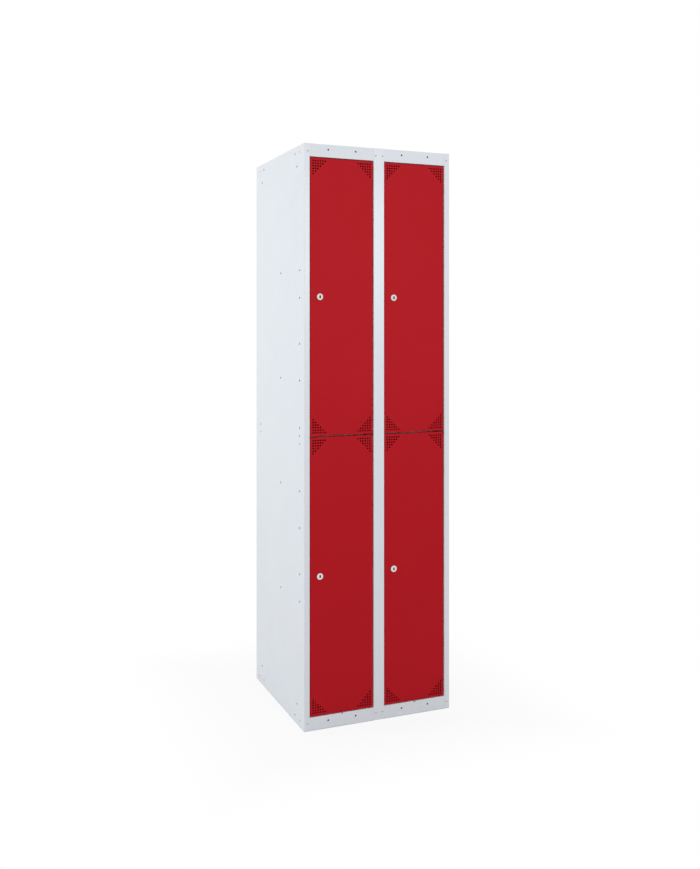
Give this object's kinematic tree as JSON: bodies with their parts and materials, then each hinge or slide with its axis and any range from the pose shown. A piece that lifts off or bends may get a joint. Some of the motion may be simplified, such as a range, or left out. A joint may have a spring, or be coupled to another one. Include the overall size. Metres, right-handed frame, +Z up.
{
  "type": "steel locker",
  "caption": "Free-standing sheet-steel locker nest with hinged, vented and lockable doors over stacked compartments, on a plinth.",
  "frame": {"origin": "on the floor, under the middle of the carcass", "axes": "+Z up, the doors face -Y, +X to the right as seen from the front"},
  "size_m": [0.5, 0.5015, 1.8],
  "materials": {
    "grey_powder_coat": "satin light grey powder coat",
    "red_powder_coat": "satin red powder coat",
    "nickel_plate": "bright nickel plate",
    "zinc_plate": "dull zinc plate",
    "black_oxide": "matt black oxide"
  },
  "bodies": {
    "carcass": {"left_side_panel": "grey_powder_coat", "right_side_panel": "grey_powder_coat", "centre_post": "grey_powder_coat", "centre_partition": "grey_powder_coat", "centre_rear_strip": "grey_powder_coat", "left_back_panel": "grey_powder_coat", "right_back_panel": "grey_powder_coat", "left_roof_tray": "grey_powder_coat", "right_roof_tray": "grey_powder_coat", "left_floor_tray": "grey_powder_coat", "right_floor_tray": "grey_powder_coat", "left_middle_shelf": "grey_powder_coat", "right_middle_shelf": "grey_powder_coat", "left_hinge_bracket": "black_oxide", "right_hinge_bracket": "black_oxide", "left_top_hinge_pin": "black_oxide", "left_middle_hinge_pin": "black_oxide", "left_bottom_hinge_pin": "black_oxide", "right_top_hinge_pin": "black_oxide", "right_middle_hinge_pin": "black_oxide", "right_bottom_hinge_pin": "black_oxide", "left_stile_top_screw": "grey_powder_coat", "left_stile_bottom_screw": "grey_powder_coat", "left_post_top_screw": "grey_powder_coat", "left_post_bottom_screw": "grey_powder_coat", "right_stile_top_screw": "grey_powder_coat", "right_stile_bottom_screw": "grey_powder_coat", "right_post_top_screw": "grey_powder_coat", "right_post_bottom_screw": "grey_powder_coat"},
    "upper_left_door": {"upper_left_door": "red_powder_coat", "upper_left_lock_housing": "nickel_plate", "upper_left_lock_nut": "zinc_plate"},
    "lower_left_door": {"lower_left_door": "red_powder_coat", "lower_left_lock_housing": "nickel_plate", "lower_left_lock_nut": "zinc_plate"},
    "upper_right_door": {"upper_right_door": "red_powder_coat", "upper_right_lock_housing": "nickel_plate", "upper_right_lock_nut": "zinc_plate"},
    "lower_right_door": {"lower_right_door": "red_powder_coat", "lower_right_lock_housing": "nickel_plate", "lower_right_lock_nut": "zinc_plate"},
    "upper_left_lock": {"upper_left_lock_plug": "nickel_plate", "upper_left_lock_cam": "zinc_plate", "upper_left_cam_screw": "zinc_plate"},
    "lower_left_lock": {"lower_left_lock_plug": "nickel_plate", "lower_left_lock_cam": "zinc_plate", "lower_left_cam_screw": "zinc_plate"},
    "upper_right_lock": {"upper_right_lock_plug": "nickel_plate", "upper_right_lock_cam": "zinc_plate", "upper_right_cam_screw": "zinc_plate"},
    "lower_right_lock": {"lower_right_lock_plug": "nickel_plate", "lower_right_lock_cam": "zinc_plate", "lower_right_cam_screw": "zinc_plate"}
  },
  "joints": [
    {"name": "upper_left_door_hinge", "type": "hinge", "parent": "carcass", "child": "upper_left_door", "pos_m": [-0.03125, -0.241, 1.33], "axis": [0, 0, 1], "range_deg": [0, 110]},
    {"name": "lower_left_door_hinge", "type": "hinge", "parent": "carcass", "child": "lower_left_door", "pos_m": [-0.03125, -0.241, 0.47], "axis": [0, 0, 1], "range_deg": [0, 110]},
    {"name": "upper_right_door_hinge", "type": "hinge", "parent": "carcass", "child": "upper_right_door", "pos_m": [0.21875, -0.241, 1.33], "axis": [0, 0, 1], "range_deg": [0, 110]},
    {"name": "lower_right_door_hinge", "type": "hinge", "parent": "carcass", "child": "lower_right_door", "pos_m": [0.21875, -0.241, 0.47], "axis": [0, 0, 1], "range_deg": [0, 110]},
    {"name": "upper_left_lock_turn", "type": "hinge", "parent": "upper_left_door", "child": "upper_left_lock", "pos_m": [-0.198, -0.247, 1.33], "axis": [0, 1, 0], "range_deg": [0, 90]},
    {"name": "lower_left_lock_turn", "type": "hinge", "parent": "lower_left_door", "child": "lower_left_lock", "pos_m": [-0.198, -0.247, 0.47], "axis": [0, 1, 0], "range_deg": [0, 90]},
    {"name": "upper_right_lock_turn", "type": "hinge", "parent": "upper_right_door", "child": "upper_right_lock", "pos_m": [0.052, -0.247, 1.33], "axis": [0, 1, 0], "range_deg": [0, 90]},
    {"name": "lower_right_lock_turn", "type": "hinge", "parent": "lower_right_door", "child": "lower_right_lock", "pos_m": [0.052, -0.247, 0.47], "axis": [0, 1, 0], "range_deg": [0, 90]}
  ]
}
